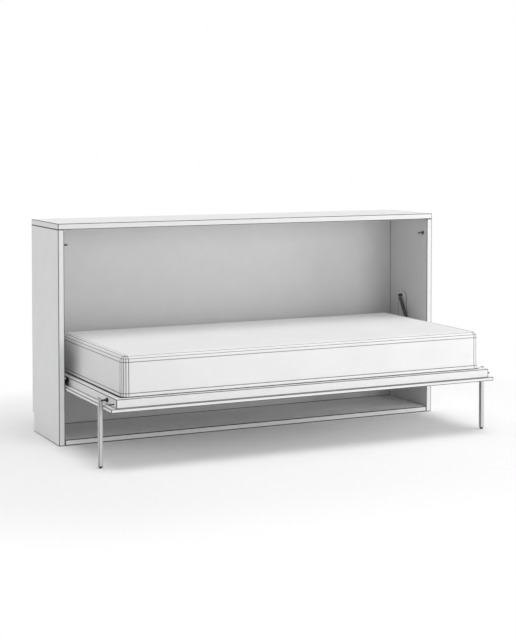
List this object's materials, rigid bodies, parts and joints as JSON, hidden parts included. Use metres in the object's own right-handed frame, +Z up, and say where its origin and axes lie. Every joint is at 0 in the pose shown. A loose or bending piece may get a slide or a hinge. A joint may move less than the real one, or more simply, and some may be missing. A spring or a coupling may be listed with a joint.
{
  "type": "cabinet bed",
  "caption": "Low wall cabinet with a sideways single bed that folds down on gas struts and stands on two fold-out legs, with a slatted frame and a mattress.",
  "frame": {"origin": "on the floor, in the middle of the open bed's outline, halfway from the bed's front edge to the cabinet's back", "axes": "+Z up; +X along the cabinet's length, to the right as seen from the front; the bed folds down towards -Y and the wall is at +Y"},
  "size_m": [2.198, 1.11, 1.122],
  "materials": {
    "white_board": "white melamine-faced board",
    "grey_board": "pale grey faced board",
    "beech": "laminated beech",
    "tenon_wood": "solid beech",
    "mattress_cloth": "white quilted cover on a foam core",
    "light_steel": "light grey painted steel",
    "black_steel": "black painted steel",
    "zinc_steel": "zinc-plated steel",
    "chrome_rod": "hard-chromed rod",
    "bronze": "sintered bronze",
    "leg_metal": "satin anodised aluminium",
    "black_plastic": "black moulded plastic"
  },
  "bodies": {
    "cabinet": {"side_panel_left": "white_board", "side_panel_right": "white_board", "top_board": "white_board", "bottom_board": "white_board", "back_panel": "grey_board", "cabinet_tenons": "tenon_wood", "wall_brackets": "light_steel", "fitting_plate_left": "light_steel", "fitting_plate_right": "light_steel", "pivot_pins": "zinc_steel", "upper_studs": "black_steel", "catch_pins": "black_steel"},
    "bed": {"door_panel": "white_board", "rail_front": "white_board", "rail_rear": "white_board", "rail_left": "white_board", "rail_right": "white_board", "ledger_front": "beech", "ledger_rear": "beech", "middle_bearer": "beech", "slat_01": "beech", "slat_02": "beech", "slat_03": "beech", "slat_04": "beech", "slat_05": "beech", "slat_06": "beech", "slat_07": "beech", "slat_08": "beech", "slat_09": "beech", "slat_10": "beech", "slat_11": "beech", "slat_12": "beech", "slat_13": "beech", "slat_14": "beech", "slat_holders_front": "black_plastic", "slat_holders_rear": "black_plastic", "mattress": "mattress_cloth", "mattress_stops": "black_steel", "bed_plate_left": "black_steel", "bed_plate_right": "black_steel", "pivot_bushes": "bronze", "lower_studs": "black_steel", "leg_bushes": "black_plastic", "stop_pegs": "black_steel"},
    "leg_bolt_left": {"leg_bolt_left": "black_steel"},
    "leg_left": {"leg_left": "leg_metal", "leg_glide_left": "black_plastic"},
    "strut_rod_left": {"strut_rod_left": "chrome_rod"},
    "strut_cylinder_left": {"strut_cylinder_left": "black_steel"},
    "leg_bolt_right": {"leg_bolt_right": "black_steel"},
    "leg_right": {"leg_right": "leg_metal", "leg_glide_right": "black_plastic"},
    "strut_rod_right": {"strut_rod_right": "chrome_rod"},
    "strut_cylinder_right": {"strut_cylinder_right": "black_steel"}
  },
  "joints": [
    {"name": "bed_fold", "type": "hinge", "parent": "cabinet", "child": "bed", "pos_m": [0, 0.163, 0.332], "axis": [-1, 0, 0], "range_deg": [0, 90]},
    {"name": "leg_slide_left", "type": "slide", "parent": "bed", "child": "leg_bolt_left", "axis": [1, 0, 0], "range_m": [0, 0.0175]},
    {"name": "leg_swing_left", "type": "hinge", "parent": "leg_bolt_left", "child": "leg_left", "pos_m": [-1.0725, -0.431, 0.32], "axis": [1, 0, 0], "range_deg": [0, 90]},
    {"name": "strut_swing_left", "type": "hinge", "parent": "cabinet", "child": "strut_rod_left", "pos_m": [-1.05, 0.3776, 0.6365], "axis": [-1, 0, 0], "range_deg": [0, 1.37]},
    {"name": "strut_slide_left", "type": "slide", "parent": "strut_rod_left", "child": "strut_cylinder_left", "axis": [0, -0.5215, -0.8533], "range_m": [0, 0.03929]},
    {"name": "leg_slide_right", "type": "slide", "parent": "bed", "child": "leg_bolt_right", "axis": [-1, 0, 0], "range_m": [0, 0.0175]},
    {"name": "leg_swing_right", "type": "hinge", "parent": "leg_bolt_right", "child": "leg_right", "pos_m": [1.0725, -0.431, 0.32], "axis": [1, 0, 0], "range_deg": [0, 90]},
    {"name": "strut_swing_right", "type": "hinge", "parent": "cabinet", "child": "strut_rod_right", "pos_m": [1.05, 0.3776, 0.6365], "axis": [-1, 0, 0], "range_deg": [0, 1.37]},
    {"name": "strut_slide_right", "type": "slide", "parent": "strut_rod_right", "child": "strut_cylinder_right", "axis": [0, -0.5215, -0.8533], "range_m": [0, 0.03929]}
  ],
  "couplings": [
    {"joint": "leg_slide_left", "follows": "bed_fold", "m_per_rad": 0.011141},
    {"joint": "strut_swing_left", "follows": "bed_fold", "ratio": 0.015196},
    {"joint": "strut_slide_left", "follows": "bed_fold", "m_per_rad": 0.025015},
    {"joint": "leg_slide_right", "follows": "bed_fold", "m_per_rad": 0.011141},
    {"joint": "strut_swing_right", "follows": "bed_fold", "ratio": 0.015196},
    {"joint": "strut_slide_right", "follows": "bed_fold", "m_per_rad": 0.025015}
  ]
}
